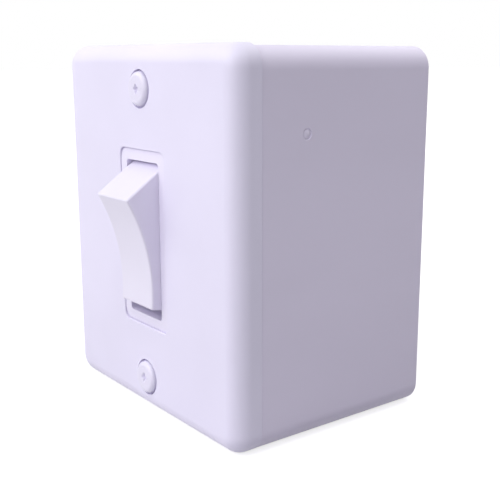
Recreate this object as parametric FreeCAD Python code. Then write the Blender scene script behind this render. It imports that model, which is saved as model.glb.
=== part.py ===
import FreeCAD, Part
import math
import os

# Surface mounted light switch: millimetres, +X to the right seen from the front,
# +Y into the wall, +Z up. The origin is the centre of the box's back face, on the wall.

# Outside: the plate stands proud of the box at its top and sides, and level with it underneath
plate_width = 72.4
plate_height = 86.0
total_depth = 55.0
plate_depth = 6.8
plate_corner_radius = 5.0
plate_front_round = 4.2
plate_side_overhang = 0.1
plate_top_overhang = 0.5
parting_gap = 0.1
box_corner_radius = 5.0

# Walls of the plate and the box
plate_front_wall = 2.6
plate_side_wall = 1.6
box_wall = 2.6
back_wall = 2.5
lip_height = 2.2
lip_clearance = 0.2

# Cover screws and the posts that take them
screw_centre_z = -0.45
screw_inset = 9.05
screw_recess_radius = 4.5
screw_recess_depth = 1.2
screw_head_radius = 3.8
screw_head_height = 1.8
screw_head_round = 0.8
screw_shank_radius = 1.75
screw_shank_length = 14.0
screw_hole_clearance = 0.2
cross_recess_width = 0.8
cross_recess_span = 3.2
cross_recess_depth = 0.9
boss_radius = 4.6
boss_height = 5.9
post_radius = 4.4
post_rib_thickness = 2.0
insert_radius = 2.6
insert_length = 7.0
insert_clearance = 0.03
thread_clearance = 0.05
post_bore_depth = 12.0

# Switch housing, which shows as the narrow frame round the rocker
fitting_centre_z = -0.8
bezel_side_wall = 2.55
bezel_end_wall = 2.5
bezel_corner_radius = 1.5
bezel_recess = 0.3
window_clearance = 0.2
aperture_width = 14.0
aperture_height = 36.3
aperture_corner_radius = 0.8
flange_side_margin = 2.0
flange_end_margin = 1.0
flange_thickness = 1.5
lug_height = 7.0
lug_reach = 5.5
rivet_radius = 1.25
rivet_clearance = 0.05
rivet_head_radius = 2.2
rivet_head_height = 0.8
rivet_pocket_clearance = 0.2

# Snap hooks of the plate, which hold the housing's flange
hook_width = 6.0
hook_thickness = 1.4
hook_side_gap = 0.2
hook_catch = 0.75
hook_seat_gap = 0.15
hook_nose = 1.6
hook_spacing = 24.0

# Rocker, drawn level about its pivot and then tilted with its top out
pivot_depth = 5.0
rocker_side_clearance = 0.2
rocker_end_clearance = 0.35
rocker_end_setback = 1.62
rocker_end_slope_angle = 22.8
rocker_tip_height = 10.3
rocker_middle_height = 8.25
rocker_skirt_depth = 2.5
rocker_wall = 1.6
rocker_edge_round = 0.6
rocker_throw_angle = 24.6
pivot_pin_radius = 1.5
pivot_pin_length = 2.1
pivot_clearance = 0.06
pivot_end_gap = 0.3

# Spring plunger in the rocker's rear boss
plunger_boss_radius = 3.2
plunger_boss_reach = 6.0
plunger_radius = 1.8
plunger_clearance = 0.05
plunger_reach = 13.5
plunger_nose_radius = 1.5
plunger_nose_length = 3.5
plunger_guided_length = 4.0
spring_length = 7.5
spring_wire_radius = 0.25
spring_side_gap = 0.2
spring_end_gap = 0.1
spring_turns = 6

# See-saw contact arm and the cradle that it rocks in
arm_width = 5.0
arm_thickness = 0.8
arm_half_length = 9.8
arm_slope_angle = 5.0
arm_swing_angle = 12.0
arm_tip_clearance = 0.1
roll_radius = 0.75
roll_clearance = 0.06
cradle_height = 5.0
cradle_depth = 2.6
cradle_rise_gap = 0.4
contact_reach = 8.0
contact_radius = 1.5
moving_contact_height = 0.6
contact_gap = 0.15

# Terminals, their screws and clamp plates, and the base that carries them
strip_thickness = 1.2
front_pad_height = 5.0
stem_offset = 4.8
stem_height = 2.4
stem_clearance = 0.1
base_depth = 8.0
terminal_pitch = 10.5
rear_pad_height = 7.0
rear_pad_reach = 4.0
clamp_thickness = 1.2
clamp_margin = 0.2
terminal_screw_radius = 1.5
terminal_screw_length = 7.0
terminal_head_radius = 2.7
terminal_head_height = 2.2
terminal_slot_width = 0.8
terminal_slot_depth = 1.1
screw_end_gap = 0.3
barrier_thickness = 1.2
barrier_depth = 4.6

# Back of the box: wall slots, cable entry and knock-outs
slot_spacing = 46.0
slot_length = 9.0
slot_half_width = 2.4
cable_hole_radius = 9.0
cable_hole_drop = 19.0
knockout_radius = 8.0
knockout_groove = 0.8
knockout_depth = 1.6
knockout_y = -24.0

# Small round moulding mark on the box's right side
mark_radius = 1.2
mark_depth = 0.25
mark_behind_front = 18.5
mark_z = 24.9

# Working lengths: how far a cut runs past a face, how far a joined shape sinks into its carrier,
# and how near two places count as one
cut_over = 1.0
join_in = 0.5
same_place = 0.01

# Places that follow from the sizes
front_y = -total_depth
plate_inner_y = front_y + plate_front_wall
plate_back_y = front_y + plate_depth
box_front_y = plate_back_y + parting_gap
box_width = plate_width - 2 * plate_side_overhang
box_height = plate_height - plate_top_overhang
plate_lift = plate_top_overhang / 2
post_top_y = plate_inner_y + boss_height
screw_seat_y = front_y + screw_recess_depth
screw_reach = plate_height / 2 - screw_inset
screw_places = [screw_centre_z + screw_reach, screw_centre_z - screw_reach]
bezel_width = aperture_width + 2 * bezel_side_wall
bezel_height = aperture_height + 2 * bezel_end_wall
bezel_y = front_y + bezel_recess
flange_back_y = plate_inner_y + flange_thickness
flange_half_width = bezel_width / 2 + flange_side_margin
lug_half_width = bezel_width / 2 + lug_reach
rivet_reach = (bezel_width + lug_reach) / 2
rivet_places = [side * rivet_reach for side in (1, -1)]
pivot_y = front_y + pivot_depth
pivot = FreeCAD.Vector(0, pivot_y, fitting_centre_z)
rocker_width = aperture_width - 2 * rocker_side_clearance
rocker_end_radius = aperture_height / 2 - rocker_end_clearance
rocker_end_reach = rocker_end_radius - rocker_end_setback
rest_tilt = rocker_throw_angle / 2
plunger_back = plunger_boss_reach - plunger_guided_length
arm_front_y = pivot_y + plunger_reach + arm_tip_clearance
fulcrum_y = arm_front_y + arm_thickness
fulcrum = FreeCAD.Vector(0, fulcrum_y, fitting_centre_z)
rest_rock = arm_swing_angle / 2
floor_y = fulcrum_y + cradle_depth
base_back_y = floor_y + base_depth
pad_front_y = floor_y - strip_thickness
closed_angle = math.radians(rest_rock - arm_slope_angle)
arm_contact_y = fulcrum_y + contact_reach * math.sin(closed_angle)
fixed_contact_y = arm_contact_y + moving_contact_height + contact_gap
clamp_back_y = base_back_y + strip_thickness + clamp_thickness
contact_rise = contact_reach * math.cos(closed_angle)
contact_places = [fitting_centre_z + step * contact_rise for step in (1, 0, -1)]
terminal_places = [fitting_centre_z + step * terminal_pitch for step in (1, 0, -1)]
stem_places = [(contact + terminal) / 2 for contact, terminal in zip(contact_places, terminal_places)]


def fuse(first, *others):
    result = first
    for other in others:
        result = result.fuse(other)
    return result.removeSplitter()


def block(x_low, x_high, y_low, y_high, z_low, z_high):
    corner = FreeCAD.Vector(x_low, y_low, z_low)
    return Part.makeBox(x_high - x_low, y_high - y_low, z_high - z_low, corner)


def rounded_block(width, height, y_low, y_high, radius, centre_z=0.0):
    solid = block(-width / 2, width / 2, y_low, y_high, centre_z - height / 2, centre_z + height / 2)
    along_y = [edge for edge in solid.Edges if abs(edge.tangentAt(edge.FirstParameter).y) > 0.99]
    return solid.makeFillet(radius, along_y)


def rod_along_y(radius, y_low, y_high, x=0.0, z=0.0):
    return Part.makeCylinder(radius, y_high - y_low, FreeCAD.Vector(x, y_low, z), FreeCAD.Vector(0, 1, 0))


def through_hole(radius, y_low, y_high, x=0.0, z=0.0):
    return rod_along_y(radius, y_low - cut_over, y_high + cut_over, x, z)


def rod_along_x(radius, x_low, x_high, y, z):
    return Part.makeCylinder(radius, x_high - x_low, FreeCAD.Vector(x_low, y, z), FreeCAD.Vector(1, 0, 0))


def side_profile(points, width, centre):
    # A closed outline of (outward, up) points about a centre, as wide as given along X
    corners = [centre + FreeCAD.Vector(-width / 2, -outward, up) for outward, up in points]
    outline = Part.makePolygon(corners + corners[:1])
    return Part.Face(outline).extrude(FreeCAD.Vector(width, 0, 0))


def front_edges(solid, y):
    # Edges whose ends both lie at one depth
    return [edge for edge in solid.Edges if all(abs(vertex.Y - y) < same_place for vertex in edge.Vertexes)]


def snap_hook(side, z_middle):
    inner_x = flange_half_width + hook_side_gap
    catch_y = flange_back_y + hook_seat_gap
    end_y = catch_y + hook_nose
    outline = [
        (inner_x, plate_inner_y),
        (inner_x, catch_y),
        (inner_x - hook_side_gap - hook_catch, catch_y),
        (inner_x, end_y),
        (inner_x + hook_thickness, end_y),
        (inner_x + hook_thickness, plate_inner_y),
    ]
    low_z = z_middle - hook_width / 2
    corners = [FreeCAD.Vector(side * x, y, low_z) for x, y in outline]
    face = Part.Face(Part.makePolygon(corners + corners[:1]))
    return face.extrude(FreeCAD.Vector(0, 0, hook_width))


def make_front_plate():
    outer = rounded_block(plate_width, plate_height, front_y, plate_back_y, plate_corner_radius, plate_lift)
    outer = outer.makeFillet(plate_front_round, front_edges(outer, front_y))
    inside = rounded_block(
        plate_width - 2 * plate_side_wall,
        plate_height - 2 * plate_side_wall,
        plate_inner_y,
        plate_back_y + cut_over,
        plate_corner_radius - plate_side_wall,
        plate_lift,
    )
    window = rounded_block(
        bezel_width + 2 * window_clearance,
        bezel_height + 2 * window_clearance,
        front_y - cut_over,
        plate_inner_y + cut_over,
        bezel_corner_radius + window_clearance,
        fitting_centre_z,
    )
    plate = outer.cut(inside).cut(window)
    for z in screw_places:
        plate = plate.fuse(rod_along_y(boss_radius, plate_inner_y - join_in, post_top_y, z=z))
    for side in (1, -1):
        for step in (1, -1):
            plate = plate.fuse(snap_hook(side, fitting_centre_z + step * hook_spacing / 2))
    for z in screw_places:
        plate = plate.cut(rod_along_y(screw_recess_radius, front_y - cut_over, screw_seat_y, z=z))
        hole_radius = screw_shank_radius + screw_hole_clearance
        plate = plate.cut(through_hole(hole_radius, front_y, post_top_y, z=z))
    return plate.removeSplitter()


def knockout_ring(z_inner, direction):
    start = FreeCAD.Vector(0, knockout_y, z_inner)
    depth = FreeCAD.Vector(0, 0, direction)
    ring = Part.makeCylinder(knockout_radius, knockout_depth, start, depth)
    return ring.cut(Part.makeCylinder(knockout_radius - knockout_groove, knockout_depth, start, depth))


def wall_slot(x):
    straight = (slot_length - 2 * slot_half_width) / 2
    low_y = -back_wall - cut_over
    middle = block(x - straight, x + straight, low_y, cut_over, -slot_half_width, slot_half_width)
    ends = [through_hole(slot_half_width, -back_wall, 0, x=x + side * straight) for side in (1, -1)]
    return fuse(middle, *ends)


def post_with_rib(z):
    post = rod_along_y(post_radius, post_top_y, -back_wall + join_in, z=z)
    wall_z = math.copysign(box_height / 2 - box_wall / 2, z)
    low_z, high_z = sorted((z, wall_z))
    rib_front_y = box_front_y + lip_height
    half = post_rib_thickness / 2
    rib = block(-half, half, rib_front_y, -back_wall + join_in, low_z, high_z)
    return post.fuse(rib)


def make_back_box():
    outer = rounded_block(box_width, box_height, box_front_y, 0, box_corner_radius)
    lip_radius = plate_corner_radius - plate_side_wall - lip_clearance
    lip = rounded_block(
        plate_width - 2 * (plate_side_wall + lip_clearance),
        plate_height - 2 * (plate_side_wall + lip_clearance),
        box_front_y - lip_height,
        box_front_y + cut_over,
        lip_radius,
        plate_lift,
    )
    inside = rounded_block(
        box_width - 2 * box_wall,
        box_height - 2 * box_wall,
        box_front_y - lip_height - cut_over,
        -back_wall,
        box_corner_radius - box_wall / 2,
    )
    box = outer.fuse(lip).cut(inside)
    for z in screw_places:
        box = box.fuse(post_with_rib(z))
    for z in screw_places:
        box = box.cut(rod_along_y(insert_radius, post_top_y - cut_over, post_top_y + insert_length, z=z))
        bore_radius = screw_shank_radius + screw_hole_clearance
        box = box.cut(rod_along_y(bore_radius, post_top_y, post_top_y + post_bore_depth, z=z))
    for side in (1, -1):
        box = box.cut(wall_slot(side * slot_spacing / 2))
        box = box.cut(knockout_ring(side * (box_height / 2 - box_wall), side))
    box = box.cut(through_hole(cable_hole_radius, -back_wall, 0, z=-cable_hole_drop))
    mark_y = front_y + mark_behind_front
    mark_x = box_width / 2 - mark_depth
    box = box.cut(rod_along_x(mark_radius, mark_x, box_width / 2 + cut_over, mark_y, mark_z))
    return box.removeSplitter()


def make_cover_screw(z):
    head_top_y = screw_seat_y - screw_head_height
    head = rod_along_y(screw_head_radius, head_top_y, screw_seat_y, z=z)
    head = head.makeFillet(screw_head_round, front_edges(head, head_top_y))
    shank_end_y = screw_seat_y + screw_shank_length
    shank = rod_along_y(screw_shank_radius, screw_seat_y - join_in, shank_end_y, z=z)
    screw = head.fuse(shank)
    for span, width in ((cross_recess_span, cross_recess_width), (cross_recess_width, cross_recess_span)):
        bottom_y = head_top_y + cross_recess_depth
        arm = block(-span / 2, span / 2, head_top_y - cut_over, bottom_y, z - width / 2, z + width / 2)
        screw = screw.cut(arm)
    return screw.removeSplitter()


def make_threaded_insert(z):
    outer = rod_along_y(insert_radius - insert_clearance, post_top_y, post_top_y + insert_length, z=z)
    bore_radius = screw_shank_radius + thread_clearance
    return outer.cut(through_hole(bore_radius, post_top_y, post_top_y + insert_length, z=z))


def lugs(y_low, y_high):
    low_z = fitting_centre_z - lug_height / 2
    high_z = fitting_centre_z + lug_height / 2
    return block(-lug_half_width, lug_half_width, y_low, y_high, low_z, high_z)


def make_switch_housing():
    body = rounded_block(bezel_width, bezel_height, bezel_y, floor_y, bezel_corner_radius, fitting_centre_z)
    flange_height = bezel_height + 2 * flange_end_margin
    flange = rounded_block(
        2 * flange_half_width,
        flange_height,
        plate_inner_y,
        flange_back_y,
        bezel_corner_radius,
        fitting_centre_z,
    )
    housing = fuse(body, flange, lugs(plate_inner_y, floor_y))
    aperture = rounded_block(
        aperture_width,
        aperture_height,
        bezel_y - cut_over,
        floor_y + cut_over,
        aperture_corner_radius,
        fitting_centre_z,
    )
    housing = housing.cut(aperture)
    bore_radius = pivot_pin_radius + pivot_clearance
    bore_end = rocker_width / 2 + pivot_pin_length + pivot_end_gap
    housing = housing.cut(rod_along_x(bore_radius, -bore_end, bore_end, pivot_y, fitting_centre_z))
    for x in rivet_places:
        housing = housing.cut(
            through_hole(rivet_radius + rivet_clearance, plate_inner_y, floor_y, x, fitting_centre_z)
        )
        pocket_radius = rivet_head_radius + rivet_pocket_clearance
        pocket_y = plate_inner_y + rivet_head_height + rivet_pocket_clearance
        pocket = rod_along_y(pocket_radius, plate_inner_y - cut_over, pocket_y, x, fitting_centre_z)
        housing = housing.cut(pocket)
    return housing.removeSplitter()


def make_switch_base():
    base = rounded_block(
        bezel_width,
        bezel_height,
        floor_y,
        base_back_y,
        bezel_corner_radius,
        fitting_centre_z,
    )
    base = base.fuse(lugs(floor_y, base_back_y))
    half = barrier_thickness / 2
    half_width = bezel_width / 2
    barrier_low_y = base_back_y - join_in
    barrier_high_y = base_back_y + barrier_depth
    for step in (1, -1):
        z = fitting_centre_z + step * terminal_pitch / 2
        barrier = block(-half_width, half_width, barrier_low_y, barrier_high_y, z - half, z + half)
        base = base.fuse(barrier)
    for x in rivet_places:
        base = base.cut(
            through_hole(rivet_radius + rivet_clearance, floor_y, base_back_y, x, fitting_centre_z)
        )
    for z, stem_z in zip(terminal_places, stem_places):
        slot_half = stem_height / 2 + stem_clearance
        slot = block(
            stem_offset - stem_clearance,
            stem_offset + strip_thickness + stem_clearance,
            floor_y - cut_over,
            base_back_y + cut_over,
            stem_z - slot_half,
            stem_z + slot_half,
        )
        hole_radius = terminal_screw_radius + thread_clearance
        hole_end_y = clamp_back_y - terminal_screw_length - screw_end_gap
        screw_hole = rod_along_y(hole_radius, hole_end_y, base_back_y + cut_over, z=z)
        base = base.cut(slot).cut(screw_hole)
    return base.removeSplitter()


def make_housing_rivet(x):
    front_head_y = plate_inner_y + rivet_pocket_clearance
    shank_low_y = front_head_y + rivet_head_height
    rear_head_y = base_back_y + rivet_head_height
    shank = rod_along_y(rivet_radius, shank_low_y - join_in, base_back_y + join_in, x, fitting_centre_z)
    front_head = rod_along_y(rivet_head_radius, front_head_y, shank_low_y, x, fitting_centre_z)
    rear_head = rod_along_y(rivet_head_radius, base_back_y, rear_head_y, x, fitting_centre_z)
    return fuse(shank, front_head, rear_head)


def tilt_rocker_piece(shape):
    shape.rotate(pivot, FreeCAD.Vector(1, 0, 0), rest_tilt)
    return shape


def rocker_outline(end_radius, end_reach, tip_height, middle_height, skirt):
    # Face of the rocker seen from the side: dished front, flat sloping ends that pass into
    # arcs about the pivot, flat back
    slope = math.radians(rocker_end_slope_angle)
    tip_half = (end_reach - tip_height * math.sin(slope)) / math.cos(slope)
    arc_start = slope - math.acos(end_reach / end_radius)
    arc_end = -math.asin(skirt / end_radius)

    def point(up, outward):
        return FreeCAD.Vector(0, pivot_y - outward, fitting_centre_z + up)

    def on_arc(side, angle):
        return point(side * end_radius * math.cos(angle), end_radius * math.sin(angle))

    def end_arc(side, first, last):
        return Part.Arc(on_arc(side, first), on_arc(side, (first + last) / 2), on_arc(side, last))

    low_tip = point(-tip_half, tip_height)
    high_tip = point(tip_half, tip_height)
    curves = [
        Part.Arc(low_tip, point(0, middle_height), high_tip),
        Part.LineSegment(high_tip, on_arc(1, arc_start)),
        end_arc(1, arc_start, arc_end),
        Part.LineSegment(on_arc(1, arc_end), on_arc(-1, arc_end)),
        end_arc(-1, arc_end, arc_start),
        Part.LineSegment(on_arc(-1, arc_start), low_tip),
    ]
    return Part.Face(Part.Wire([curve.toShape() for curve in curves]))


def make_rocker():
    outline = rocker_outline(
        rocker_end_radius,
        rocker_end_reach,
        rocker_tip_height,
        rocker_middle_height,
        rocker_skirt_depth,
    )
    body = outline.extrude(FreeCAD.Vector(rocker_width, 0, 0))
    body.translate(FreeCAD.Vector(-rocker_width / 2, 0, 0))
    skirt_y = pivot_y + rocker_skirt_depth
    visible = [edge for edge in body.Edges if edge.CenterOfMass.y < skirt_y - same_place]
    body = body.makeFillet(rocker_edge_round, visible)
    hollow_outline = rocker_outline(
        rocker_end_radius - rocker_wall,
        rocker_end_reach - rocker_wall,
        rocker_tip_height - rocker_wall,
        rocker_middle_height - rocker_wall,
        rocker_skirt_depth,
    )
    hollow_width = rocker_width - 2 * rocker_wall
    hollow = hollow_outline.extrude(FreeCAD.Vector(hollow_width, 0, 0))
    hollow.translate(FreeCAD.Vector(-hollow_width / 2, 0, 0))
    rocker = body.cut(hollow)
    boss_front_y = pivot_y - rocker_middle_height + rocker_wall / 2
    boss_back_y = pivot_y + plunger_boss_reach
    boss = rod_along_y(plunger_boss_radius, boss_front_y, boss_back_y, z=fitting_centre_z)
    rocker = rocker.fuse(boss)
    for side in (1, -1):
        ends = sorted((side * (rocker_width / 2 - join_in), side * (rocker_width / 2 + pivot_pin_length)))
        rocker = rocker.fuse(rod_along_x(pivot_pin_radius, ends[0], ends[1], pivot_y, fitting_centre_z))
    bore_y = pivot_y + plunger_back - spring_length
    bore_radius = plunger_radius + plunger_clearance
    bore = rod_along_y(bore_radius, bore_y, boss_back_y + cut_over, z=fitting_centre_z)
    rocker = rocker.cut(bore)
    return tilt_rocker_piece(rocker.removeSplitter())


def make_plunger():
    back_y = pivot_y + plunger_back
    tip_y = pivot_y + plunger_reach
    nose_y = tip_y - plunger_nose_radius
    cone_y = tip_y - plunger_nose_length
    stem = rod_along_y(plunger_radius, back_y, cone_y, z=fitting_centre_z)
    cone_start = FreeCAD.Vector(0, cone_y, fitting_centre_z)
    backwards = FreeCAD.Vector(0, 1, 0)
    cone = Part.makeCone(plunger_radius, plunger_nose_radius, nose_y - cone_y, cone_start, backwards)
    nose = Part.makeSphere(plunger_nose_radius, FreeCAD.Vector(0, nose_y, fitting_centre_z))
    return tilt_rocker_piece(fuse(stem, cone, nose))


def make_plunger_spring():
    coil_radius = plunger_radius + plunger_clearance - spring_side_gap - spring_wire_radius
    coil_height = spring_length - 2 * (spring_end_gap + spring_wire_radius)
    helix = Part.makeHelix(coil_height / spring_turns, coil_height, coil_radius)
    start = FreeCAD.Vector(coil_radius, 0, 0)
    wire_circle = Part.Wire(Part.makeCircle(spring_wire_radius, start, FreeCAD.Vector(0, 1, 0)))
    coil = Part.Wire(helix.Edges).makePipeShell([wire_circle], True, True)
    coil.rotate(FreeCAD.Vector(0, 0, 0), FreeCAD.Vector(1, 0, 0), 90)
    first_turn_y = pivot_y + plunger_back - spring_end_gap - spring_wire_radius
    coil.translate(FreeCAD.Vector(0, first_turn_y, fitting_centre_z))
    return tilt_rocker_piece(coil)


def rock_arm_piece(shape):
    shape.rotate(fulcrum, FreeCAD.Vector(1, 0, 0), -rest_rock)
    return shape


def make_contact_arm():
    slope = math.radians(arm_slope_angle)
    rise = arm_half_length * math.sin(slope)
    reach = arm_half_length * math.cos(slope)
    skin_out = arm_thickness * math.cos(slope)
    skin_in = arm_thickness * math.sin(slope)
    outline = [
        (0, 0),
        (rise, reach),
        (rise + skin_out, reach - skin_in),
        (arm_thickness, 0),
        (rise + skin_out, skin_in - reach),
        (rise, -reach),
    ]
    arm = side_profile(outline, arm_width, fulcrum)
    roll = rod_along_x(roll_radius, -arm_width / 2, arm_width / 2, fulcrum_y, fitting_centre_z)
    return rock_arm_piece(fuse(arm, roll))


def make_moving_contact(side):
    disc = rod_along_y(contact_radius, fulcrum_y, fulcrum_y + moving_contact_height, z=fitting_centre_z)
    disc.translate(FreeCAD.Vector(0, 0, side * contact_reach))
    disc.rotate(fulcrum, FreeCAD.Vector(1, 0, 0), side * arm_slope_angle)
    return rock_arm_piece(disc)


def make_terminal(front_block, step):
    # A front block on the base's floor, a stem through the base and a plate on its back
    stem_x = stem_offset + strip_thickness
    stem_z = stem_places[step]
    terminal_z = terminal_places[step]
    plate_back = base_back_y + strip_thickness
    stem = block(
        stem_offset,
        stem_x,
        floor_y - strip_thickness,
        plate_back,
        stem_z - stem_height / 2,
        stem_z + stem_height / 2,
    )
    rear = block(
        -rear_pad_reach,
        stem_x,
        base_back_y,
        plate_back,
        terminal_z - rear_pad_height / 2,
        terminal_z + rear_pad_height / 2,
    )
    hole_radius = terminal_screw_radius + thread_clearance
    hole = through_hole(hole_radius, base_back_y, plate_back, z=terminal_z)
    return fuse(front_block, stem, rear).cut(hole)


def make_common_terminal():
    cradle = block(
        -arm_width / 2,
        stem_offset + strip_thickness,
        fulcrum_y + cradle_rise_gap,
        floor_y,
        fitting_centre_z - cradle_height / 2,
        fitting_centre_z + cradle_height / 2,
    )
    groove_radius = roll_radius + roll_clearance
    groove = rod_along_x(groove_radius, -bezel_width, bezel_width, fulcrum_y, fitting_centre_z)
    return make_terminal(cradle.cut(groove), 1)


def make_way_terminal(step):
    contact_z = contact_places[step]
    pad = block(
        -arm_width / 2,
        stem_offset + strip_thickness,
        pad_front_y,
        floor_y,
        contact_z - front_pad_height / 2,
        contact_z + front_pad_height / 2,
    )
    return make_terminal(pad, step)


def make_fixed_contact(step):
    return rod_along_y(contact_radius, fixed_contact_y, pad_front_y, z=contact_places[step])


def make_clamp_plate(z):
    half_width = rear_pad_reach
    half_height = rear_pad_height / 2 - clamp_margin
    plate_low_y = base_back_y + strip_thickness
    plate = block(-half_width, half_width, plate_low_y, clamp_back_y, z - half_height, z + half_height)
    hole_radius = terminal_screw_radius + screw_hole_clearance
    return plate.cut(through_hole(hole_radius, plate_low_y, clamp_back_y, z=z))


def make_terminal_screw(z):
    head_end_y = clamp_back_y + terminal_head_height
    shank_end_y = clamp_back_y - terminal_screw_length
    shank = rod_along_y(terminal_screw_radius, shank_end_y, clamp_back_y + join_in, z=z)
    head = rod_along_y(terminal_head_radius, clamp_back_y, head_end_y, z=z)
    half = terminal_slot_width / 2
    slot_y = head_end_y - terminal_slot_depth
    reach = terminal_head_radius + cut_over
    slot = block(-reach, reach, slot_y, head_end_y + cut_over, z - half, z + half)
    return fuse(shank, head).cut(slot)


def make_nodes():
    return {
        "back_box": [make_back_box()],
        "front_plate": [make_front_plate()],
        "cover_screws": [make_cover_screw(z) for z in screw_places],
        "threaded_inserts": [make_threaded_insert(z) for z in screw_places],
        "switch_housing": [make_switch_housing()],
        "switch_base": [make_switch_base()],
        "housing_rivets": [make_housing_rivet(x) for x in rivet_places],
        "rocker": [make_rocker()],
        "plunger": [make_plunger()],
        "plunger_spring": [make_plunger_spring()],
        "contact_arm": [make_contact_arm()],
        "moving_contacts": [make_moving_contact(side) for side in (1, -1)],
        "common_terminal": [make_common_terminal()],
        "upper_way_terminal": [make_way_terminal(0)],
        "lower_way_terminal": [make_way_terminal(2)],
        "fixed_contacts": [make_fixed_contact(step) for step in (0, 2)],
        "clamp_plates": [make_clamp_plate(z) for z in terminal_places],
        "terminal_screws": [make_terminal_screw(z) for z in terminal_places],
    }


def write_parts():
    os.makedirs("parts", exist_ok=True)
    for name, pieces in make_nodes().items():
        shape = pieces[0] if len(pieces) == 1 else Part.makeCompound(pieces)
        shape.exportStep(os.path.join("parts", name + ".step"))
        box = shape.BoundBox
        print(f"{name}: {len(shape.Solids)} solids, {shape.Volume:.1f} mm3, valid {shape.isValid()}")
        print(f"  {box.XLength:.2f} x {box.YLength:.2f} x {box.ZLength:.2f} mm")


write_parts()
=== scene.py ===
import math

import bmesh
import bpy
from mathutils import Matrix, Vector


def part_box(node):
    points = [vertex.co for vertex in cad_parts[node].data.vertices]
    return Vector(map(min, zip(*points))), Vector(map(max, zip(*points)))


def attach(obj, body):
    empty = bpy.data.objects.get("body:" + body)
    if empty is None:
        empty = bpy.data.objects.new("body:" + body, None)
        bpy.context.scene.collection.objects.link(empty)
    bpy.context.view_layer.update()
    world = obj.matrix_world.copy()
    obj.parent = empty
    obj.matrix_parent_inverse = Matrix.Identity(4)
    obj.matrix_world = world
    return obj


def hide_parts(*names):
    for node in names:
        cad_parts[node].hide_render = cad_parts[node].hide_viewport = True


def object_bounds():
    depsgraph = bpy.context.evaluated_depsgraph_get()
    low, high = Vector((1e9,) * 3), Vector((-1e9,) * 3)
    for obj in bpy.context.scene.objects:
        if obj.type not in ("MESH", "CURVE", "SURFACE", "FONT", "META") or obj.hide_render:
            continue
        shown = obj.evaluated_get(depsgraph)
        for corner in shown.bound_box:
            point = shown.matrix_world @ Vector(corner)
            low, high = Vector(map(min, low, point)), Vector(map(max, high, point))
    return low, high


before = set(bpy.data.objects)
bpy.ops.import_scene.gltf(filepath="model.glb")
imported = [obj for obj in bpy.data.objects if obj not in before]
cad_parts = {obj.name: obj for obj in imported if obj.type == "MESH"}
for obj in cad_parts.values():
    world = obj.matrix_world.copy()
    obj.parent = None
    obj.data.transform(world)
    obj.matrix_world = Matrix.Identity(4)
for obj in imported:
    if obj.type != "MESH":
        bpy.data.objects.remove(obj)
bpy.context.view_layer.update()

mm = 0.001
past = mm  # how far a cutter reaches past the face that it opens
sunk = 0.5 * mm  # how far a joined piece is sunk into what carries it
near = 0.01 * mm  # how close to a face an edge counts as its own
onFace = 1e-6  # how close to a flat face a point counts as on it
samePoint = 1e-7  # how close two points are merged
backwards = Vector((0, 1, 0))
print("frame loaded")


# Helpers shared by the modelled pieces

def yEdges(bm, straight=0.99):
    # Edges that run from front to back
    return [e for e in bm.edges
            if abs((e.verts[0].co - e.verts[1].co).normalized().y) > straight]


def edgesAtY(bm, y):
    return [e for e in bm.edges if all(abs(v.co.y - y) < onFace for v in e.verts)]


def roundEdges(bm, edges, radius, steps):
    bmesh.ops.bevel(bm, geom=edges, offset=radius, offset_type="OFFSET", affect="EDGES",
                    segments=steps, profile=0.5, material=-1, clamp_overlap=True)


def blockBetween(low, high, corner=0.0, steps=6):
    # A block between two corners, its front-to-back edges rounded
    bm = bmesh.new()
    bmesh.ops.create_cube(bm, size=1.0)
    size = Vector(high) - Vector(low)
    middle = (Vector(high) + Vector(low)) / 2
    bmesh.ops.scale(bm, vec=size, verts=bm.verts)
    bmesh.ops.translate(bm, vec=middle, verts=bm.verts)
    if corner:
        roundEdges(bm, yEdges(bm), corner, steps)
    return bm


def rodBetween(start, end, radius, sides=48, tipRadius=None):
    # A round rod or cone from one point to another
    bm = bmesh.new()
    axis = Vector(end) - Vector(start)
    turn = Vector((0, 0, 1)).rotation_difference(axis).to_matrix().to_4x4()
    place = Matrix.Translation((Vector(start) + Vector(end)) / 2) @ turn
    tip = radius if tipRadius is None else tipRadius
    bmesh.ops.create_cone(bm, cap_ends=True, segments=sides, radius1=radius, radius2=tip,
                          depth=axis.length, matrix=place)
    return bm


def yRod(radius, yLow, yHigh, x=0.0, z=0.0, sides=64):
    return rodBetween((x, yLow, z), (x, yHigh, z), radius, sides)


def asObject(bm, name):
    bmesh.ops.remove_doubles(bm, verts=bm.verts, dist=samePoint)
    bmesh.ops.recalc_face_normals(bm, faces=bm.faces)
    mesh = bpy.data.meshes.new(name)
    bm.to_mesh(mesh)
    bm.free()
    piece = bpy.data.objects.new(name, mesh)
    bpy.context.scene.collection.objects.link(piece)
    return piece


def drop(piece):
    mesh = piece.data
    bpy.data.objects.remove(piece)
    bpy.data.meshes.remove(mesh)


def bake(piece):
    # Turns the modifiers into the piece's own mesh
    graph = bpy.context.evaluated_depsgraph_get()
    graph.update()
    mesh = bpy.data.meshes.new_from_object(piece.evaluated_get(graph), depsgraph=graph)
    old = piece.data
    piece.modifiers.clear()
    piece.data = mesh
    mesh.name = piece.name
    bpy.data.meshes.remove(old)


def carve(piece, tools, operation):
    # Cuts the tools out of a piece, or joins them to it, and drops the tools
    for number, bm in enumerate(tools):
        tool = asObject(bm, piece.name + "Tool" + str(number))
        step = piece.modifiers.new("carve", "BOOLEAN")
        step.operation = operation
        step.solver = "EXACT"
        step.object = tool
        bake(piece)
        drop(tool)


def softenEdges(piece, radius, steps=3, angle=38):
    # The small round that every moulded edge has, where faces meet at more than an angle
    soft = piece.modifiers.new("edges", "BEVEL")
    soft.width = radius
    soft.segments = steps
    soft.limit_method = "ANGLE"
    soft.angle_limit = math.radians(angle)
    soft.use_clamp_overlap = True
    soft.loop_slide = True
    bake(piece)


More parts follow.
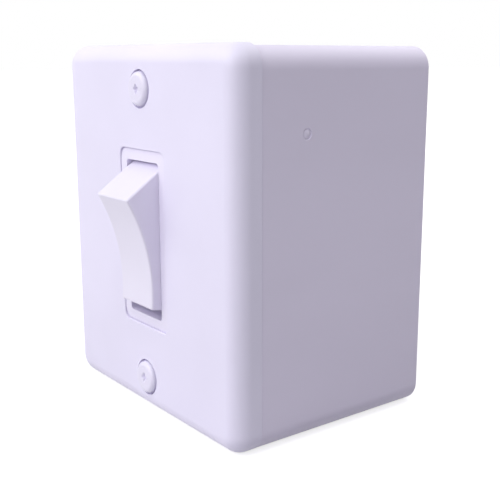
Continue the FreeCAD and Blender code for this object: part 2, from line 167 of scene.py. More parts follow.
def roundWhere(piece, chosen, radius, steps, angle=45):
    # Rounds the sharp edges whose middle a test picks, before the small rounds elsewhere
    bm = bmesh.new()
    bm.from_mesh(piece.data)
    edges = [e for e in bm.edges
             if len(e.link_faces) == 2 and e.calc_face_angle() > math.radians(angle)
             and chosen((e.verts[0].co + e.verts[1].co) / 2)]
    roundEdges(bm, edges, radius, steps)
    bm.to_mesh(piece.data)
    bm.free()


def finishPiece(piece, body, finish, node, sharpAngle=32):
    piece.data.materials.clear()
    piece.data.materials.append(finish)
    piece.data.shade_smooth()
    piece.data.set_sharp_from_angle(angle=math.radians(sharpAngle))
    even = piece.modifiers.new("evenShading", "WEIGHTED_NORMAL")
    even.keep_sharp = True
    bake(piece)
    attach(piece, body)
    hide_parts(node)
    print(piece.name, len(piece.data.polygons), "faces")


# Finishes

def newFinish(name):
    finish = bpy.data.materials.new(name)
    finish.use_nodes = True
    tree = finish.node_tree
    return finish, tree, tree.nodes["Principled BSDF"]


def noiseOn(tree, scale, detail, stretch=(1, 1, 1)):
    # Noise laid on the piece's own coordinates, scale in waves per metre
    place = tree.nodes.new("ShaderNodeTexCoord")
    mapping = tree.nodes.new("ShaderNodeMapping")
    mapping.inputs["Scale"].default_value = stretch
    noise = tree.nodes.new("ShaderNodeTexNoise")
    noise.inputs["Scale"].default_value = scale
    noise.inputs["Detail"].default_value = detail
    tree.links.new(place.outputs["Object"], mapping.inputs["Vector"])
    tree.links.new(mapping.outputs["Vector"], noise.inputs["Vector"])
    return noise.outputs["Fac"]


def spreadBetween(tree, source, low, high, sourceLow=0.3, sourceHigh=0.7):
    # Turns a pattern into a range of values. Noise lies mostly between 0.3 and 0.7
    spread = tree.nodes.new("ShaderNodeMapRange")
    spread.inputs["From Min"].default_value = sourceLow
    spread.inputs["From Max"].default_value = sourceHigh
    spread.inputs["To Min"].default_value = low
    spread.inputs["To Max"].default_value = high
    tree.links.new(source, spread.inputs["Value"])
    return spread.outputs["Result"]


def shadesOf(tree, source, dark, light, darkAt=0.35, lightAt=0.65):
    # Two shades of a colour, mixed by a pattern
    ramp = tree.nodes.new("ShaderNodeValToRGB")
    first, last = ramp.color_ramp.elements
    first.position, last.position = darkAt, lightAt
    first.color, last.color = (*dark, 1), (*light, 1)
    tree.links.new(source, ramp.inputs["Fac"])
    return ramp.outputs["Color"]


def bumpFrom(tree, shader, source, height, strength=1.0, before=None):
    bump = tree.nodes.new("ShaderNodeBump")
    bump.inputs["Distance"].default_value = height
    bump.inputs["Strength"].default_value = strength
    tree.links.new(source, bump.inputs["Height"])
    if before:
        tree.links.new(before, bump.inputs["Normal"])
    tree.links.new(bump.outputs["Normal"], shader.inputs["Normal"])
    return bump.outputs["Normal"]


def tinted(colour, factor):
    return tuple(min(1.0, channel * factor) for channel in colour)


plasticCommon = {"drift": 0.035, "driftScale": 34, "flow": (1, 1, 1), "ior": 1.48,
                 "sparkScale": 4200, "sparkHeight": 0.0000035, "smoother": 0.04, "rougher": 0.05,
                 "waveScale": 95, "waveHeight": 0.00002}
plasticLooks = {
    "platePlastic": {"colour": (0.828, 0.789, 0.968), "roughness": 0.40, "specular": 0.42},
    "boxPlastic": {"colour": (0.81, 0.757, 0.935), "roughness": 0.44, "specular": 0.38,
                   "flow": (1, 0.4, 1)},
    "framePlastic": {"colour": (0.845, 0.802, 0.97), "roughness": 0.36, "specular": 0.45},
    "rockerPlastic": {"colour": (0.851, 0.813, 0.96), "roughness": 0.34, "specular": 0.42},
    "screwEnamel": {"colour": (0.812, 0.775, 0.94), "roughness": 0.30, "specular": 0.5},
    "basePlastic": {"colour": (0.52, 0.50, 0.47), "roughness": 0.62, "specular": 0.3},
    "plungerNylon": {"colour": (0.80, 0.77, 0.66), "roughness": 0.5, "specular": 0.35},
}
metalCommon = {"tarnishScale": 260, "tarnish": 0.72, "lineScale": 2600, "lineHeight": 0.00001,
               "lineStrength": 0.6, "smoother": 0.08, "rougher": 0.12}
metalLooks = {
    "insertBrass": {"colour": (0.78, 0.56, 0.25), "roughness": 0.3, "lines": (1, 0.08, 1)},
    "terminalBrass": {"colour": (0.76, 0.55, 0.27), "roughness": 0.34, "lines": (0.08, 1, 1)},
    "armCopper": {"colour": (0.80, 0.47, 0.30), "roughness": 0.32, "lines": (1, 1, 0.08)},
    "contactSilver": {"colour": (0.86, 0.85, 0.82), "roughness": 0.24, "lines": (1, 1, 1)},
    "springSteel": {"colour": (0.58, 0.58, 0.60), "roughness": 0.26, "lines": (0.2, 0.2, 1)},
    "clampSteel": {"colour": (0.68, 0.69, 0.72), "roughness": 0.36, "lines": (0.1, 1, 1)},
    "rivetAluminium": {"colour": (0.77, 0.77, 0.79), "roughness": 0.38, "lines": (1, 1, 1)},
}


def mouldedPlastic(name, look):
    # A slow drift of shade, a faint flow waviness and a fine spark texture
    finish, tree, shader = newFinish(name)
    drift = noiseOn(tree, look["driftScale"], detail=2.0, stretch=look["flow"])
    dark = tinted(look["colour"], 1 - look["drift"])
    tree.links.new(shadesOf(tree, drift, dark, look["colour"]), shader.inputs["Base Color"])
    spark = noiseOn(tree, look["sparkScale"], detail=4.0)
    wear = spreadBetween(tree, spark, look["roughness"] - look["smoother"],
                         look["roughness"] + look["rougher"])
    tree.links.new(wear, shader.inputs["Roughness"])
    shader.inputs["IOR"].default_value = look["ior"]
    shader.inputs["Specular IOR Level"].default_value = look["specular"]
    waves = noiseOn(tree, look["waveScale"], detail=1.0)
    waviness = bumpFrom(tree, shader, waves, look["waveHeight"])
    bumpFrom(tree, shader, spark, look["sparkHeight"], before=waviness)
    return finish


def drawnMetal(name, look):
    # Fine drawing lines along one direction and a little tarnish
    finish, tree, shader = newFinish(name)
    shader.inputs["Metallic"].default_value = 1.0
    tarnish = noiseOn(tree, look["tarnishScale"], detail=3.0)
    dull = tinted(look["colour"], look["tarnish"])
    tree.links.new(shadesOf(tree, tarnish, dull, look["colour"]), shader.inputs["Base Color"])
    lines = noiseOn(tree, look["lineScale"], detail=3.0, stretch=look["lines"])
    rough = spreadBetween(tree, lines, look["roughness"] - look["smoother"],
                          look["roughness"] + look["rougher"])
    tree.links.new(rough, shader.inputs["Roughness"])
    bumpFrom(tree, shader, lines, look["lineHeight"], look["lineStrength"])
    return finish


finishes = {name: mouldedPlastic(name, {**plasticCommon, **look})
            for name, look in plasticLooks.items()}
finishes.update({name: drawnMetal(name, {**metalCommon, **look})
                 for name, look in metalLooks.items()})
print("finishes made")


# Front plate: a shallow tray with a large round on its front edge. Sizes of pieces are in mm

plateSizes = {"depth": 6.8, "corner": 5.0, "frontRound": 4.2, "frontWall": 2.6, "sideWall": 1.6,
              "boss": 4.6, "windowGap": 0.1, "windowCorner": 1.6, "windowRound": 0.55,
              "edge": 0.22, "rimEdge": 0.07, "screwHead": 3.8, "screwHole": 1.95,
              "recess": 4.35, "recessDepth": 1.2, "recessRound": 0.45}
hookSizes = {"gap": 0.2, "catch": 0.75, "seatGap": 0.15, "nose": 1.6, "thick": 1.4, "width": 6.0,
             "spacing": 24.0}
frameSizes = {"flangeSide": 2.0, "flangeEnd": 1.0, "flange": 1.5, "corner": 1.5, "edge": 0.16,
              "rimEdge": 0.35, "endSlope": 0.3, "sideWall": 2.55, "endWall": 2.5,
              "apertureCorner": 0.8, "lugReach": 5.5, "lugHeight": 7.0, "pivotDepth": 5.0,
              "pinBore": 1.56, "boreEnd": 9.2, "rivetHole": 1.3, "rivetPocket": 2.4,
              "pocketDepth": 1.0}

plateLow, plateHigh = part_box("front_plate")
housingLow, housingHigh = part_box("switch_housing")
housingSpan = housingHigh - housingLow
screwLow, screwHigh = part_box("cover_screws")
frontY = plateLow.y
partingY = frontY + plateSizes["depth"] * mm
plateInnerY = frontY + plateSizes["frontWall"] * mm
pivotY = frontY + frameSizes["pivotDepth"] * mm
fittingZ = (housingLow.z + housingHigh.z) / 2
screwPlaces = [screwHigh.z - plateSizes["screwHead"] * mm,
               screwLow.z + plateSizes["screwHead"] * mm]
bezelHalfHeight = housingSpan.z / 2 - frameSizes["flangeEnd"] * mm
bezelHalfWidth = housingSpan.x / 2 - frameSizes["lugReach"] * mm
flangeHalfWidth = bezelHalfWidth + frameSizes["flangeSide"] * mm


def hookPrism(side, z):
    # A snap hook: a short arm with a nose that holds the switch's flange from behind
    innerX = flangeHalfWidth + hookSizes["gap"] * mm
    catchY = plateInnerY + (frameSizes["flange"] + hookSizes["seatGap"]) * mm
    endY = catchY + hookSizes["nose"] * mm
    outerX = innerX + hookSizes["thick"] * mm
    noseX = flangeHalfWidth - hookSizes["catch"] * mm
    rootY = plateInnerY - sunk
    outline = [(innerX, rootY), (innerX, catchY), (noseX, catchY), (innerX, endY),
               (outerX, endY), (outerX, rootY)]
    bm = bmesh.new()
    low = z - hookSizes["width"] * mm / 2
    ring = [bm.verts.new((side * x, y, low)) for x, y in outline]
    face = bm.faces.new(ring)
    made = bmesh.ops.extrude_face_region(bm, geom=[face])
    moved = [v for v in made["geom"] if isinstance(v, bmesh.types.BMVert)]
    bmesh.ops.translate(bm, vec=(0, 0, hookSizes["width"] * mm), verts=moved)
    return bm


def makeFrontPlate():
    low, high = plateLow, plateHigh
    bm = blockBetween((low.x, frontY, low.z), (high.x, partingY, high.z),
                      plateSizes["corner"] * mm, steps=16)
    roundEdges(bm, edgesAtY(bm, frontY), plateSizes["frontRound"] * mm, steps=14)
    piece = asObject(bm, "front_plate_shell")
    wall = plateSizes["sideWall"] * mm
    hollow = blockBetween((low.x + wall, plateInnerY, low.z + wall),
                          (high.x - wall, partingY + past, high.z - wall),
                          (plateSizes["corner"] - plateSizes["sideWall"]) * mm, steps=12)
    gap = plateSizes["windowGap"] * mm
    halfX, halfZ = bezelHalfWidth + gap, bezelHalfHeight + gap
    window = blockBetween((-halfX, frontY - past, fittingZ - halfZ),
                          (halfX, plateInnerY + past, fittingZ + halfZ),
                          plateSizes["windowCorner"] * mm, steps=8)
    carve(piece, [hollow, window], "DIFFERENCE")
    bosses = [yRod(plateSizes["boss"] * mm, plateInnerY - sunk, high.y, z=z)
              for z in screwPlaces]
    reach = hookSizes["spacing"] * mm / 2
    hooks = [hookPrism(side, fittingZ + step * reach) for side in (1, -1) for step in (1, -1)]
    carve(piece, bosses + hooks, "UNION")
    recessFloorY = frontY + plateSizes["recessDepth"] * mm
    recesses = [yRod(plateSizes["recess"] * mm, frontY - past, recessFloorY, z=z)
                for z in screwPlaces]
    holes = [yRod(plateSizes["screwHole"] * mm, frontY - past, high.y + past, z=z, sides=32)
             for z in screwPlaces]
    carve(piece, recesses + holes, "DIFFERENCE")
    windowEnd = halfZ + mm  # the window's edges lie within this height, the recesses beyond it
    roundWhere(piece, lambda p: abs(p.y - frontY) < near and abs(p.z - fittingZ) > windowEnd,
               plateSizes["recessRound"] * mm, steps=6)
    roundWhere(piece, lambda p: abs(p.y - frontY) < near and abs(p.z - fittingZ) < windowEnd,
               plateSizes["windowRound"] * mm, steps=4)
    roundWhere(piece, lambda p: abs(p.y - partingY) < near, plateSizes["rimEdge"] * mm, steps=3)
    softenEdges(piece, plateSizes["edge"] * mm)
    finishPiece(piece, "fixed", finishes["platePlastic"], "front_plate")


makeFrontPlate()


# Deep box, open to the front, with its posts, lip, slots and cable hole

boxSizes = {"corner": 5.0, "wall": 2.6, "backWall": 2.5, "rearRound": 0.6, "edge": 0.25,
            "partingGap": 0.04, "rimEdge": 0.07, "lip": 2.2, "lipGap": 0.2, "lipRoot": 1.0,
            "post": 4.4, "rib": 2.0, "insertBore": 2.6, "insertDepth": 7.0, "screwBore": 1.95,
            "boreDepth": 12.0, "slotSpacing": 46.0, "slotLength": 9.0, "slotHalf": 2.4,
            "cableHole": 9.0, "cableDrop": 19.0, "knockout": 8.0, "groove": 0.8,
            "grooveDepth": 1.6, "knockoutY": -24.0}
mark = {"radius": 1.2, "depth": 0.2, "behind": 18.5, "z": 24.9, "pip": 1.0, "pipTip": 0.45,
        "pipRise": 0.32, "pipSunk": 0.002}


def knockoutRing(z, side):
    # The thinned ring round a knock-out, cut from inside
    y = boxSizes["knockoutY"] * mm
    depth = boxSizes["grooveDepth"] * mm
    outer = rodBetween((0, y, z - side * past), (0, y, z + side * depth),
                       boxSizes["knockout"] * mm, sides=64)
    ring = asObject(outer, "knockoutRing")
    inner = rodBetween((0, y, z - side * 2 * past), (0, y, z + side * 4 * past),
                       (boxSizes["knockout"] - boxSizes["groove"]) * mm, sides=64)
    carve(ring, [inner], "DIFFERENCE")
    bm = bmesh.new()
    bm.from_mesh(ring.data)
    drop(ring)
    return bm


def wallSlot(x):
    straight = (boxSizes["slotLength"] / 2 - boxSizes["slotHalf"]) * mm
    half = boxSizes["slotHalf"] * mm
    low = (x - straight - half, -boxSizes["backWall"] * mm - past, -half)
    high = (x + straight + half, past, half)
    return blockBetween(low, high, half * 0.999, steps=12)  # a hair under a full round end


def makeBackBox():
    boxLow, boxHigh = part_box("back_box")
    lipFrontY, outX, outZ = boxLow.y, boxHigh.x, boxHigh.z
    openY = partingY + boxSizes["partingGap"] * mm
    bm = blockBetween((-outX, openY, -outZ), (outX, 0, outZ), boxSizes["corner"] * mm, steps=14)
    roundEdges(bm, edgesAtY(bm, 0), boxSizes["rearRound"] * mm, steps=4)
    piece = asObject(bm, "back_box_shell")
    inset = plateSizes["sideWall"] + boxSizes["lipGap"]
    lip = blockBetween((plateLow.x + inset * mm, lipFrontY, plateLow.z + inset * mm),
                       (plateHigh.x - inset * mm, openY + boxSizes["lipRoot"] * mm,
                        plateHigh.z - inset * mm),
                       (plateSizes["corner"] - inset) * mm, steps=10)
    carve(piece, [lip], "UNION")
    wall, back = boxSizes["wall"] * mm, -boxSizes["backWall"] * mm
    hollow = blockBetween((wall - outX, lipFrontY - past, wall - outZ),
                          (outX - wall, back, outZ - wall),
                          (boxSizes["corner"] - boxSizes["wall"] / 2) * mm, steps=10)
    carve(piece, [hollow], "DIFFERENCE")
    postTop = plateHigh.y
    half = boxSizes["rib"] * mm / 2
    posts, ribs = [], []
    for z in screwPlaces:
        posts.append(yRod(boxSizes["post"] * mm, postTop, back + sunk, z=z))
        wallZ = math.copysign(outZ - wall / 2, z)
        ribs.append(blockBetween((-half, openY + boxSizes["lip"] * mm, min(z, wallZ)),
                                 (half, back + sunk, max(z, wallZ))))
    carve(piece, posts + ribs, "UNION")
    cuts = []
    for z in screwPlaces:
        insertEnd = postTop + boxSizes["insertDepth"] * mm
        boreEnd = postTop + boxSizes["boreDepth"] * mm
        cuts.append(yRod(boxSizes["insertBore"] * mm, postTop - past, insertEnd, z=z))
        cuts.append(yRod(boxSizes["screwBore"] * mm, postTop - past, boreEnd, z=z, sides=32))
    cuts += [wallSlot(step * boxSizes["slotSpacing"] * mm / 2) for step in (1, -1)]
    cuts.append(yRod(boxSizes["cableHole"] * mm, back - past, past,
                     z=-boxSizes["cableDrop"] * mm, sides=80))
    cuts += [knockoutRing(step * (outZ - wall), step) for step in (1, -1)]
    markY, markZ = frontY + mark["behind"] * mm, mark["z"] * mm
    markFloorX = outX - mark["depth"] * mm
    cuts.append(rodBetween((markFloorX, markY, markZ), (outX + past, markY, markZ),
                           mark["radius"] * mm, sides=32))
    carve(piece, cuts, "DIFFERENCE")
    roundWhere(piece, lambda p: abs(p.y - openY) < near, boxSizes["rimEdge"] * mm, steps=3)
    softenEdges(piece, boxSizes["edge"] * mm, angle=50)
    pip = rodBetween((markFloorX, markY, markZ),
                     (markFloorX + mark["pipRise"] * mm, markY, markZ),
                     mark["pip"] * mm, sides=24, tipRadius=mark["pipTip"] * mm)
    bmesh.ops.translate(pip, vec=(-mark["pipSunk"] * mm, 0, 0), verts=pip.verts)
    carve(piece, [pip], "UNION")
    finishPiece(piece, "fixed", finishes["boxPlastic"], "back_box")


makeBackBox()


# Switch housing, which shows as the narrow frame round the rocker. Its sizes are in frameSizes,
# above the plate that holds it

def pointsOutside(bm, y, reach):
    # Points of a front face that lie beyond a height from the switch's middle
    return [v for v in bm.verts
            if abs(v.co.y - y) < onFace and abs(v.co.z - fittingZ) > reach + onFace]


def makeSwitchHousing():
    bezelY, floorY = housingLow.y, housingHigh.y
    flangeBackY = plateInnerY + frameSizes["flange"] * mm
    bm = blockBetween((-bezelHalfWidth, bezelY, fittingZ - bezelHalfHeight),
                      (bezelHalfWidth, floorY, fittingZ + bezelHalfHeight),
                      frameSizes["corner"] * mm, steps=8)
    apertureX = bezelHalfWidth - frameSizes["sideWall"] * mm
    apertureZ = bezelHalfHeight - frameSizes["endWall"] * mm
    for side in (1, -1):
        bmesh.ops.bisect_plane(bm, geom=bm.faces[:] + bm.edges[:] + bm.verts[:],
                               plane_co=(0, 0, fittingZ + side * apertureZ), plane_no=(0, 0, 1))
    slope = frameSizes["endSlope"] * mm
    for vert in pointsOutside(bm, bezelY, apertureZ):
        out = (abs(vert.co.z - fittingZ) - apertureZ) / (bezelHalfHeight - apertureZ)
        vert.co.y += slope * out
    piece = asObject(bm, "switch_housing_shell")
    flange = blockBetween((-flangeHalfWidth, plateInnerY, housingLow.z),
                          (flangeHalfWidth, flangeBackY, housingHigh.z),
                          frameSizes["corner"] * mm, steps=6)
    lugHalf = frameSizes["lugHeight"] * mm / 2
    lug = blockBetween((housingLow.x, plateInnerY, fittingZ - lugHalf),
                       (housingHigh.x, floorY, fittingZ + lugHalf))
    carve(piece, [flange, lug], "UNION")
    cuts = [blockBetween((-apertureX, bezelY - past, fittingZ - apertureZ),
                         (apertureX, floorY + past, fittingZ + apertureZ),
                         frameSizes["apertureCorner"] * mm, steps=6)]
    boreEnd = frameSizes["boreEnd"] * mm
    cuts.append(rodBetween((-boreEnd, pivotY, fittingZ), (boreEnd, pivotY, fittingZ),
                           frameSizes["pinBore"] * mm, sides=40))
    pocketY = plateInnerY + frameSizes["pocketDepth"] * mm
    for side in (1, -1):
        x = side * (bezelHalfWidth + frameSizes["lugReach"] * mm / 2)
        cuts.append(yRod(frameSizes["rivetHole"] * mm, plateInnerY - past, floorY + past,
                         x, fittingZ, sides=24))
        cuts.append(yRod(frameSizes["rivetPocket"] * mm, plateInnerY - past, pocketY,
                         x, fittingZ, sides=32))
    carve(piece, cuts, "DIFFERENCE")
    roundWhere(piece, lambda p: p.y < bezelY + slope + near, frameSizes["rimEdge"] * mm, steps=4)
    softenEdges(piece, frameSizes["edge"] * mm, angle=50)
    finishPiece(piece, "fixed", finishes["framePlastic"], "switch_housing")


makeSwitchHousing()


# Rocker: a dished bar whose sloping ends pass into arcs about its pivot, tilted with its top out

rockerSizes = {"endRadius": 17.8, "endReach": 16.18, "endSlope": 22.8, "tipHeight": 10.3,
               "middleHeight": 8.25, "skirt": 2.5, "wall": 1.6, "edge": 0.75, "pin": 1.5,
               "boss": 3.2, "bossReach": 6.0, "bore": 1.85, "boreEnd": 5.5, "sideGap": 0.06,
               "tilt": 12.3}
pivot = Vector((0, pivotY, fittingZ))


def spinPoint(bm, vert, centre, angle, steps):
    made = bmesh.ops.spin(bm, geom=[vert], cent=centre, axis=(1, 0, 0), angle=angle, steps=steps)
    return [g for g in made["geom_last"] if isinstance(g, bmesh.types.BMVert)][0]


def rockerBlank(inset, width, steps):
    # The side outline, set in by a wall and pushed out to a width: a dish, two flats, two arcs
    # and a straight back
    endRadius, endReach = rockerSizes["endRadius"] - inset, rockerSizes["endReach"] - inset
    tipHeight = rockerSizes["tipHeight"] - inset
    sag = rockerSizes["tipHeight"] - rockerSizes["middleHeight"]
    slope = math.radians(rockerSizes["endSlope"])
    tipHalf = (endReach - tipHeight * math.sin(slope)) / math.cos(slope)
    arcStart = slope - math.acos(endReach / endRadius)
    arcTurn = arcStart + math.asin(rockerSizes["skirt"] / endRadius)
    dishRadius = (tipHalf ** 2 + sag ** 2) / (2 * sag)
    dishTurn = 2 * math.asin(tipHalf / dishRadius)
    dishCentre = Vector((0, pivotY - (tipHeight - sag + dishRadius) * mm, fittingZ))
    bm = bmesh.new()
    upperTip = bm.verts.new((0, pivotY - tipHeight * mm, fittingZ + tipHalf * mm))
    lowerTip = spinPoint(bm, upperTip, dishCentre, -dishTurn, steps * 2)
    up, out = endRadius * math.cos(arcStart), endRadius * math.sin(arcStart)
    for tip, side in ((upperTip, 1), (lowerTip, -1)):
        foot = bm.verts.new((0, pivotY - out * mm, fittingZ + side * up * mm))
        bm.edges.new((tip, foot))
        spinPoint(bm, foot, pivot, -side * arcTurn, steps // 2)
    bm.edges.new([v for v in bm.verts if len(v.link_edges) == 1])
    face = bmesh.ops.contextual_create(bm, geom=bm.edges[:])["faces"][0]
    made = bmesh.ops.extrude_face_region(bm, geom=[face])
    moved = [g for g in made["geom"] if isinstance(g, bmesh.types.BMVert)]
    bmesh.ops.translate(bm, vec=(width * mm, 0, 0), verts=moved)
    bmesh.ops.translate(bm, vec=(-width * mm / 2, 0, 0), verts=bm.verts)
    return bm


def makeRocker():
    width = 2 * (bezelHalfWidth / mm - frameSizes["sideWall"] - rockerSizes["sideGap"])
    wall = rockerSizes["wall"]
    # Few steps in the dish, because short ones would limit the round of the edges
    piece = asObject(rockerBlank(0, width, steps=8), "rocker_bar")
    softenEdges(piece, rockerSizes["edge"] * mm, steps=5)
    hollow = rockerBlank(wall, width - 2 * wall, steps=14)
    skirtY = pivotY + rockerSizes["skirt"] * mm
    backFace = [v for v in hollow.verts if v.co.y > skirtY - near]
    bmesh.ops.translate(hollow, vec=(0, past, 0), verts=backFace)
    carve(piece, [hollow], "DIFFERENCE")
    bossFront = pivotY - (rockerSizes["middleHeight"] - wall / 2) * mm
    bossBack = pivotY + rockerSizes["bossReach"] * mm
    boss = yRod(rockerSizes["boss"] * mm, bossFront, bossBack, z=fittingZ, sides=48)
    pinRoot, pinEnd = width / 2 * mm - sunk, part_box("rocker")[1].x
    pins = [rodBetween((side * pinRoot, pivotY, fittingZ), (side * pinEnd, pivotY, fittingZ),
                       rockerSizes["pin"] * mm, sides=40) for side in (1, -1)]
    carve(piece, [boss] + pins, "UNION")
    bore = yRod(rockerSizes["bore"] * mm, pivotY - rockerSizes["boreEnd"] * mm, bossBack + past,
                z=fittingZ, sides=32)
    carve(piece, [bore], "DIFFERENCE")
    turn = Matrix.Rotation(math.radians(rockerSizes["tilt"]), 4, "X")
    piece.data.transform(Matrix.Translation(pivot) @ turn @ Matrix.Translation(-pivot))
    finishPiece(piece, "rocker", finishes["rockerPlastic"], "rocker")


makeRocker()


# Cover screws: enamelled heads with a cross recess, and a threaded shank

screwSizes = {"headHeight": 1.8, "dome": 0.3, "headRadius": 3.9, "round": 1.15, "edge": 0.08,
              "shank": 1.55, "threadStart": 1.2, "threadEnd": 0.6, "threadRise": 0.2,
              "threadRoot": 0.05, "pitch": 0.6, "flank": 0.42, "turnSteps": 18,
              "crossSpan": 3.0, "crossWidth": 1.0, "crossDepth": 0.7, "crossTaper": 0.5,
              "crossRound": 0.25}


def crossCutter(z, topY, span, width):
    # One bar of the cross, narrower at its bottom
    depth = screwSizes["crossDepth"] * mm
    bm = blockBetween((-span / 2, topY - past, z - width / 2),
                      (span / 2, topY + depth, z + width / 2))
    bottom = [v for v in bm.verts if v.co.y > topY]
    middle = Vector((0, topY + depth, z))
    taper = screwSizes["crossTaper"]
    bmesh.ops.scale(bm, vec=(taper, 1, taper), space=Matrix.Translation(-middle), verts=bottom)
    return bm


def addThread(bm, startY, endY, z):
    # A helical ridge made by spinning its three-cornered section while it moves along
    pitch = screwSizes["pitch"] * mm
    flank = screwSizes["flank"] * pitch
    root = (screwSizes["shank"] - screwSizes["threadRoot"]) * mm
    crest = (screwSizes["shank"] + screwSizes["threadRise"]) * mm
    corners = [(root, -flank), (crest, 0.0), (root, flank)]
    section = bm.faces.new([bm.verts.new((radius, startY + along, z))
                            for radius, along in corners])
    turns = (endY - startY) / pitch
    steps = int(turns * screwSizes["turnSteps"])
    bmesh.ops.spin(bm, geom=[section], cent=(0, startY, z), axis=backwards,
                   dvec=backwards * ((endY - startY) / steps), angle=turns * 2 * math.pi,
                   steps=steps)


def makeCoverScrews():
    topY = screwLow.y - screwSizes["dome"] * mm
    seatY = screwLow.y + screwSizes["headHeight"] * mm
    width, reach = screwSizes["crossWidth"] * mm, screwSizes["crossSpan"] * mm
    joined = bmesh.new()
    for z in screwPlaces:
        head = yRod(screwSizes["headRadius"] * mm, topY, seatY, z=z, sides=72)
        roundEdges(head, edgesAtY(head, topY), screwSizes["round"] * mm, steps=7)
        piece = asObject(head, "screwHead")
        shank = yRod(screwSizes["shank"] * mm, seatY - sunk, screwHigh.y, z=z, sides=32)
        carve(piece, [shank], "UNION")
        carve(piece, [crossCutter(z, topY, reach, width), crossCutter(z, topY, width, reach)],
              "DIFFERENCE")
        roundWhere(piece, lambda p: abs(p.y - topY) < near, screwSizes["crossRound"] * mm,
                   steps=4)
        softenEdges(piece, screwSizes["edge"] * mm, steps=2, angle=50)
        joined.from_mesh(piece.data)
        drop(piece)
        addThread(joined, seatY + screwSizes["threadStart"] * mm,
                  screwHigh.y - screwSizes["threadEnd"] * mm, z)
    piece = asObject(joined, "cover_screw_pair")
    finishPiece(piece, "fixed", finishes["screwEnamel"], "cover_screws")


makeCoverScrews()


# Pieces inside keep their solids and take their own finish

insideFinishes = {"threaded_inserts": "insertBrass", "switch_base": "basePlastic",
                  "housing_rivets": "rivetAluminium", "plunger": "plungerNylon",
                  "plunger_spring": "springSteel", "contact_arm": "armCopper",
                  "moving_contacts": "contactSilver", "common_terminal": "terminalBrass",
                  "upper_way_terminal": "terminalBrass", "lower_way_terminal": "terminalBrass",
                  "fixed_contacts": "contactSilver", "clamp_plates": "clampSteel",
                  "terminal_screws": "clampSteel"}
for node, finishName in insideFinishes.items():
    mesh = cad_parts[node].data
    mesh.materials.clear()
    mesh.materials.append(finishes[finishName])
print("inside pieces finished")


# Floor, backdrop and light. Places and sizes are in metres, powers in watts

stage = {"half": 6.0, "colour": (0.50, 0.495, 0.52), "grain": 0.985, "grainScale": 6.0,
         "roughness": 0.85, "specular": 0.1, "glow": 0.75, "glowNear": 0.12, "glowFar": 0.6,
         "fill": 0.01, "fillColour": (0.93, 0.90, 1.0)}
lamps = {
    "front": {"from": (0.15, -1.2, 0.35), "size": 0.9, "power": 4.7},
    "highFront": {"from": (0.0, -0.75, 0.85), "size": 0.9, "power": 5.3},
    "leftFront": {"from": (-0.62, -0.74, 0.58), "size": 0.75, "power": 4.2},
    "highRight": {"from": (0.55, 0.1, 1.0), "size": 1.0, "power": 5.3},
    "highBack": {"from": (0.0, 0.7, 1.0), "size": 1.0, "power": 4.1},
    "back": {"from": (-0.2, 1.2, 0.4), "size": 0.9, "power": 2.0},
}
white = (1, 1, 1, 1)


def combined(tree, operation, first, second):
    both = tree.nodes.new("ShaderNodeMath")
    both.operation = operation
    tree.links.new(first, both.inputs[0])
    tree.links.new(second, both.inputs[1])
    return both.outputs["Value"]


def seenDirectly(tree):
    # 1 for what the camera sees, straight or by a glossy or clear surface, else 0
    rays = tree.nodes.new("ShaderNodeLightPath")
    seen = rays.outputs["Is Camera Ray"]
    for other in ("Is Glossy Ray", "Is Transmission Ray"):
        seen = combined(tree, "MAXIMUM", seen, rays.outputs[other])
    return seen


def makeFloor():
    bm = bmesh.new()
    bmesh.ops.create_grid(bm, x_segments=1, y_segments=1, size=stage["half"])
    bmesh.ops.translate(bm, vec=(0, 0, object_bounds()[0].z), verts=bm.verts)
    floor = asObject(bm, "studio_floor")
    finish, tree, shader = newFinish("floorPaper")
    grain = noiseOn(tree, stage["grainScale"], detail=2.0)
    shades = shadesOf(tree, grain, tinted(stage["colour"], stage["grain"]), stage["colour"])
    tree.links.new(shades, shader.inputs["Base Color"])
    shader.inputs["Roughness"].default_value = stage["roughness"]
    shader.inputs["Specular IOR Level"].default_value = stage["specular"]
    shader.inputs["Emission Color"].default_value = white
    # The floor glows white to the eye from some way off, and less near the switch's shadow
    place = tree.nodes.new("ShaderNodeTexCoord")
    away = tree.nodes.new("ShaderNodeVectorMath")
    away.operation = "LENGTH"
    tree.links.new(place.outputs["Object"], away.inputs[0])
    fade = spreadBetween(tree, away.outputs["Value"], stage["glow"], 1.0,
                         stage["glowNear"], stage["glowFar"])
    glow = combined(tree, "MULTIPLY", seenDirectly(tree), fade)
    tree.links.new(glow, shader.inputs["Emission Strength"])
    floor.data.materials.append(finish)


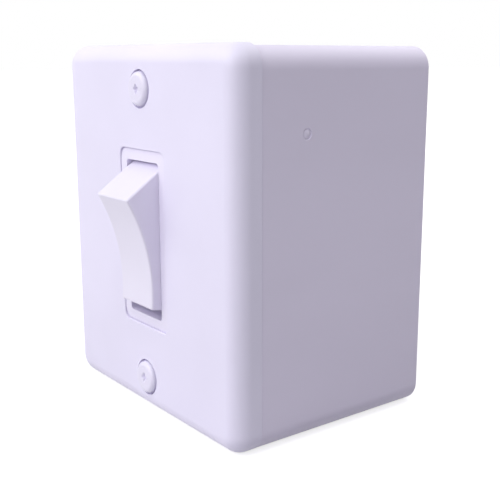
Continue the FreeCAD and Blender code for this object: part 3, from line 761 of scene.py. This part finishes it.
def makeWorld():
    world = bpy.data.worlds.new("studio")
    bpy.context.scene.world = world
    world.use_nodes = True
    tree = world.node_tree
    fill = tree.nodes["Background"]
    fill.inputs["Color"].default_value = (*stage["fillColour"], 1)
    fill.inputs["Strength"].default_value = stage["fill"]
    backdrop = tree.nodes.new("ShaderNodeBackground")
    backdrop.inputs["Color"].default_value = white
    backdrop.inputs["Strength"].default_value = 1.0
    mix = tree.nodes.new("ShaderNodeMixShader")
    tree.links.new(seenDirectly(tree), mix.inputs["Fac"])
    tree.links.new(fill.outputs["Background"], mix.inputs[1])
    tree.links.new(backdrop.outputs["Background"], mix.inputs[2])
    tree.links.new(mix.outputs["Shader"], tree.nodes["World Output"].inputs["Surface"])


def makeLamps():
    for name, look in lamps.items():
        data = bpy.data.lights.new(name, "AREA")
        data.size = look["size"]
        data.energy = look["power"]
        lamp = bpy.data.objects.new(name, data)
        lamp.location = look["from"]
        lamp.rotation_euler = (-Vector(look["from"])).to_track_quat("-Z", "Y").to_euler()
        bpy.context.scene.collection.objects.link(lamp)


cameraView = {"azimuth": 52.869, "elevation": 12.253, "roll": -0.136, "lens": 62.0,
              "sensor": 36.0, "nearest": 0.01, "place": (0.17037, -0.15297, 0.04007)}


def makeCamera():
    # Placed from a match of the plate's and the box's outlines with the photograph
    azimuth = math.radians(cameraView["azimuth"])
    elevation = math.radians(cameraView["elevation"])
    roll = math.radians(cameraView["roll"])
    back = Vector((math.sin(azimuth) * math.cos(elevation),
                   -math.cos(azimuth) * math.cos(elevation), math.sin(elevation)))
    right = Vector((math.cos(azimuth), math.sin(azimuth), 0))
    up = back.cross(right)
    rightRolled = right * math.cos(roll) + up * math.sin(roll)
    upRolled = up * math.cos(roll) - right * math.sin(roll)
    data = bpy.data.cameras.new("camera")
    data.lens = cameraView["lens"]
    data.sensor_width = cameraView["sensor"]
    data.clip_start = cameraView["nearest"]
    camera = bpy.data.objects.new("camera", data)
    turn = Matrix((rightRolled, upRolled, back)).transposed().to_4x4()
    camera.matrix_world = Matrix.Translation(cameraView["place"]) @ turn
    bpy.context.scene.collection.objects.link(camera)
    bpy.context.scene.camera = camera


makeFloor()
makeWorld()
makeLamps()
makeCamera()
bpy.context.scene.view_settings.view_transform = "Standard"
print("stage, lamps and camera set")
